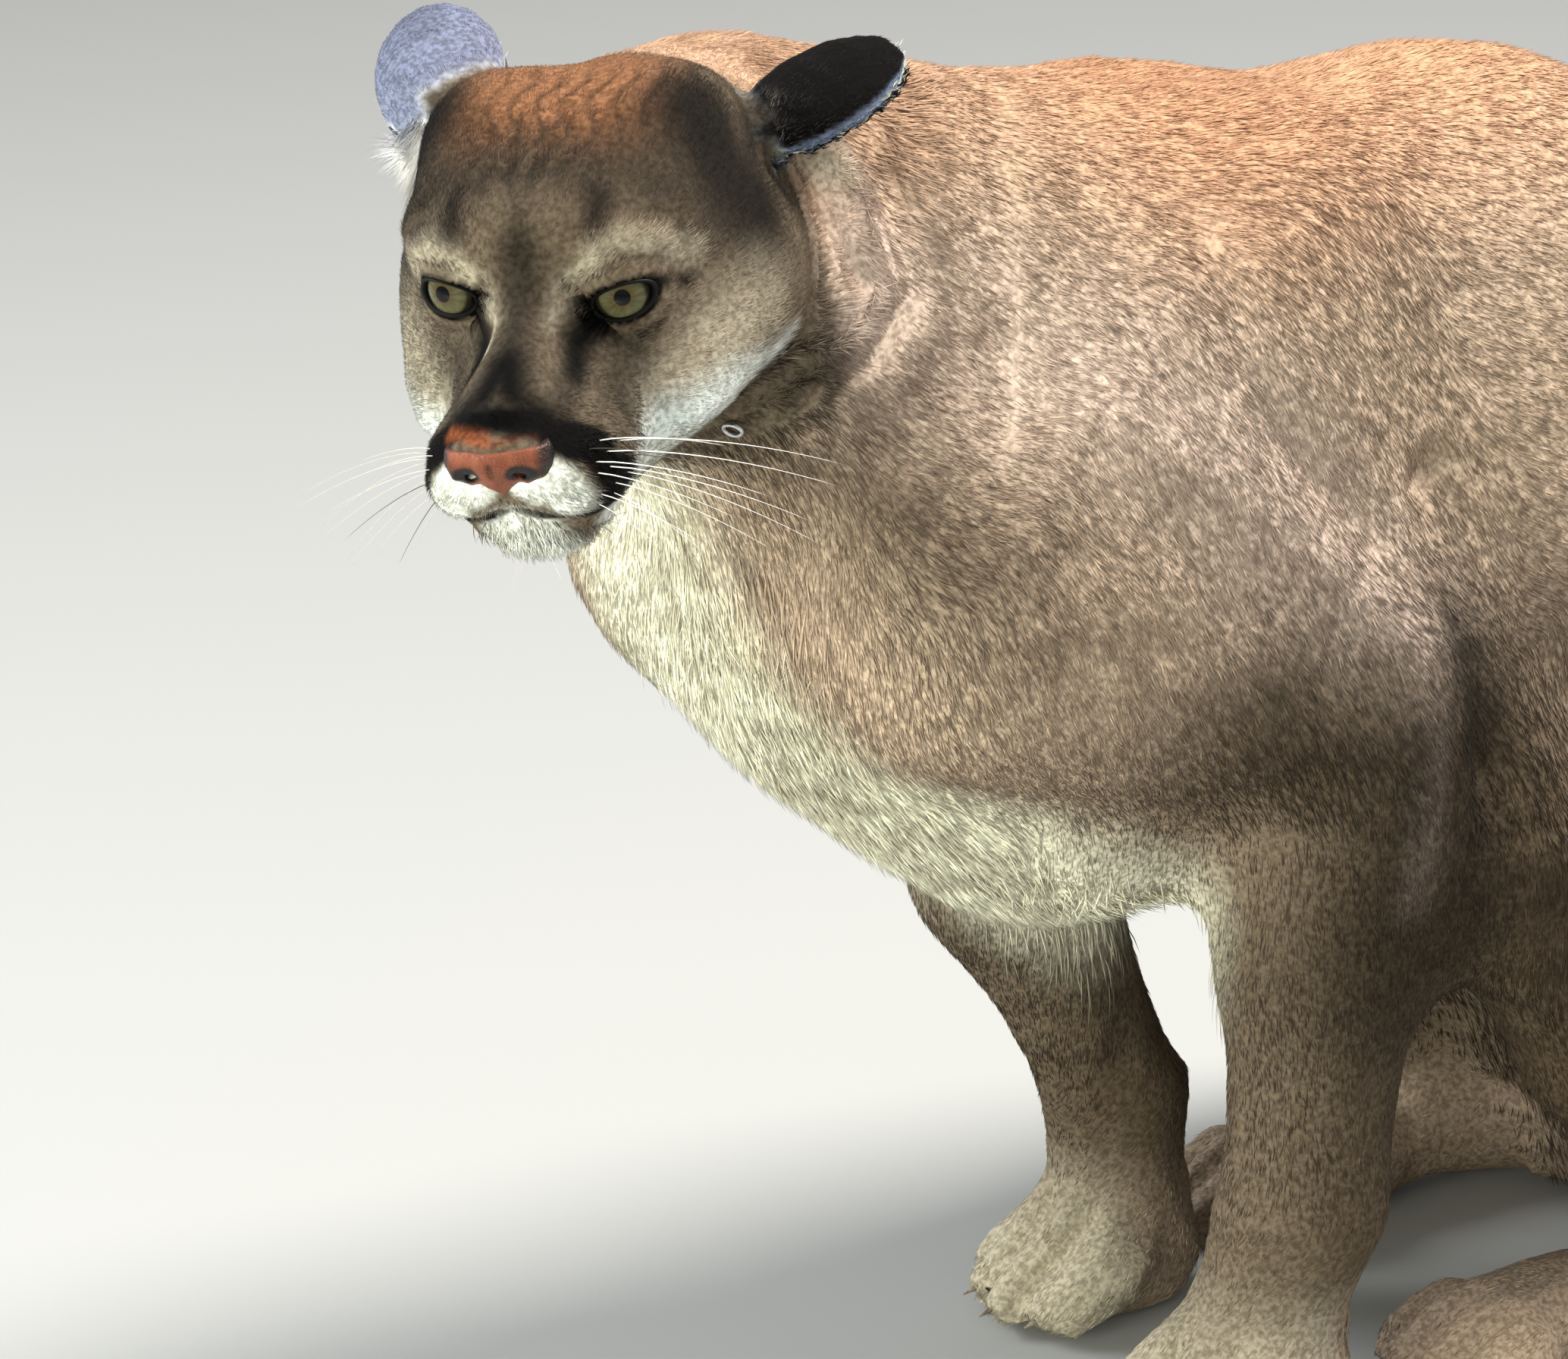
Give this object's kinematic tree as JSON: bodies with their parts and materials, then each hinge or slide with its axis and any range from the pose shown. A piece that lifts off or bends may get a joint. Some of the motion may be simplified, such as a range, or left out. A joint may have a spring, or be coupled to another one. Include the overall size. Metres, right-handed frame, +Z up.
{
  "type": "sitting cougar",
  "caption": "Life-size cougar sitting hunched on its haunches, forelegs upright, head lowered and turned to its left, ears laid back, tail on the floor, chain collar.",
  "frame": {"origin": "on the floor under the middle of the bounding box", "axes": "+Z up; the spine runs along X, the chest towards -X and the tail towards +X; the animal's left side is -Y"},
  "size_m": [1.1796, 0.4586, 0.628],
  "materials": {
    "coat": "short dense fur, grizzled tan",
    "ear_back": "short dark fur",
    "eye": "wet, glossy",
    "nose_pad": "damp bare skin",
    "steel": "plain steel chain"
  },
  "bodies": {
    "root": {"upper_arm_left": "coat", "forearm_left": "coat", "forepaw_left": "coat", "thigh_left": "coat", "shank_left": "coat", "hind_foot_left": "coat", "upper_arm_right": "coat", "forearm_right": "coat", "forepaw_right": "coat", "thigh_right": "coat", "shank_right": "coat", "hind_foot_right": "coat", "chest": "coat", "loin": "coat", "rump": "coat", "neck": "coat", "ear_left": "ear_back", "eye_left": "eye", "ear_right": "ear_back", "eye_right": "eye", "head": "coat", "nose": "nose_pad", "tail_1": "coat", "tail_2": "coat", "tail_3": "coat", "tail_4": "coat", "collar_chain": "steel", "collar_ring": "steel"}
  },
  "joints": []
}
